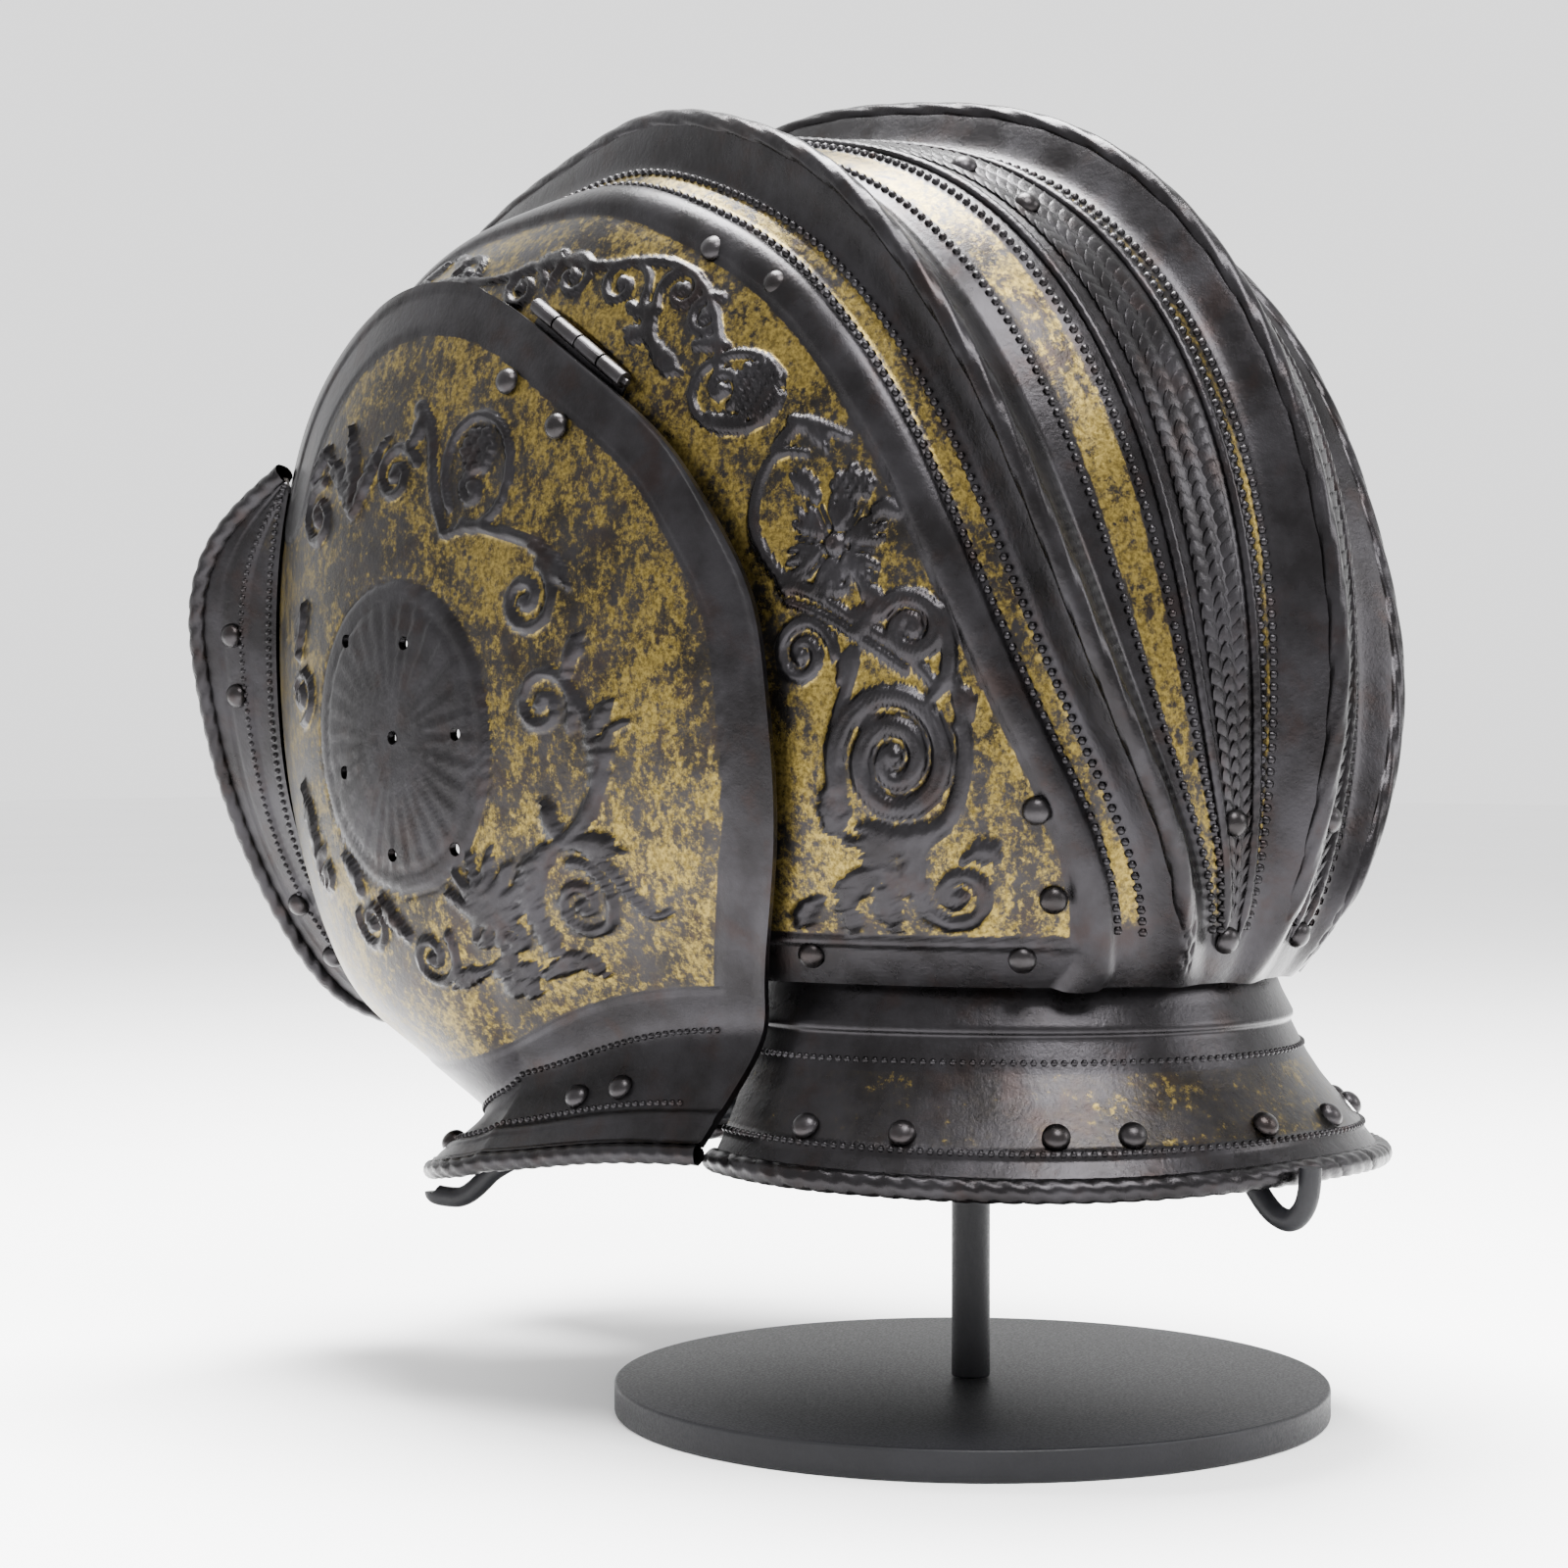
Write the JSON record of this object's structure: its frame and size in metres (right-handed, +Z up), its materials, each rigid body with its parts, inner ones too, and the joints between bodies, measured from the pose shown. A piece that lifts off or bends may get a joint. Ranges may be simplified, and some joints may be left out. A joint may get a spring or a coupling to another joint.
{
  "type": "burgonet helmet on a plain display stand",
  "caption": "Embossed and gilded close-fitting parade helmet with combs, a flared neck guard and hinged cheek-pieces, held by a plain round display stand.",
  "frame": {"origin": "centre of the stand disc's underside, on the axis of the stand's post", "axes": "+Z up; the face opening looks along -Y; the wearer's left is +X"},
  "size_m": [0.2188, 0.3258, 0.3404],
  "materials": {
    "gilt_steel": "dark russet steel with worn gilding in the sunk grounds",
    "fittings": "dark polished steel",
    "stand_paint": "satin black"
  },
  "bodies": {
    "helmet": {"hinge_leaf_left": "fittings", "hinge_leaf_right": "fittings", "hinge_pin_left": "fittings", "hinge_pin_right": "fittings", "neck_guard": "gilt_steel", "rivet_guard_1_left": "fittings", "rivet_guard_1_right": "fittings", "rivet_guard_2_left": "fittings", "rivet_guard_2_right": "fittings", "rivet_guard_3_left": "fittings", "rivet_guard_3_right": "fittings", "rivet_guard_4_left": "fittings", "rivet_guard_4_right": "fittings", "rivet_guard_5_left": "fittings", "rivet_guard_5_right": "fittings", "rivet_skull_10_left": "fittings", "rivet_skull_10_right": "fittings", "rivet_skull_1_left": "fittings", "rivet_skull_1_right": "fittings", "rivet_skull_2_left": "fittings", "rivet_skull_2_right": "fittings", "rivet_skull_3_left": "fittings", "rivet_skull_3_right": "fittings", "rivet_skull_4_left": "fittings", "rivet_skull_4_right": "fittings", "rivet_skull_5_left": "fittings", "rivet_skull_5_right": "fittings", "rivet_skull_6_left": "fittings", "rivet_skull_6_right": "fittings", "rivet_skull_7_left": "fittings", "rivet_skull_7_right": "fittings", "rivet_skull_8_left": "fittings", "rivet_skull_8_right": "fittings", "rivet_skull_9_left": "fittings", "rivet_skull_9_right": "fittings", "skull": "gilt_steel", "stand_cradle": "stand_paint", "stand_disc": "stand_paint"},
    "cheek_piece_left": {"cheek_left": "gilt_steel", "rivet_cheek_1_left": "fittings", "rivet_cheek_2_left": "fittings", "rivet_cheek_3_left": "fittings", "rivet_cheek_4_left": "fittings", "rivet_cheek_5_left": "fittings", "rivet_flange_1_left": "fittings", "rivet_flange_2_left": "fittings", "rivet_flange_3_left": "fittings", "rivet_flange_4_left": "fittings"},
    "cheek_piece_right": {"cheek_right": "gilt_steel", "rivet_cheek_1_right": "fittings", "rivet_cheek_2_right": "fittings", "rivet_cheek_3_right": "fittings", "rivet_cheek_4_right": "fittings", "rivet_cheek_5_right": "fittings", "rivet_flange_1_right": "fittings", "rivet_flange_2_right": "fittings", "rivet_flange_3_right": "fittings", "rivet_flange_4_right": "fittings"}
  },
  "joints": [
    {"name": "cheek_hinge_left", "type": "hinge", "parent": "helmet", "child": "cheek_piece_left", "pos_m": [0.09816, -0.04537, 0.27127], "axis": [-0.0749, -0.8389, 0.5391], "range_deg": [0, 70]},
    {"name": "cheek_hinge_right", "type": "hinge", "parent": "helmet", "child": "cheek_piece_right", "pos_m": [-0.09816, -0.04537, 0.27127], "axis": [-0.0749, 0.8389, -0.5391], "range_deg": [0, 70]}
  ]
}
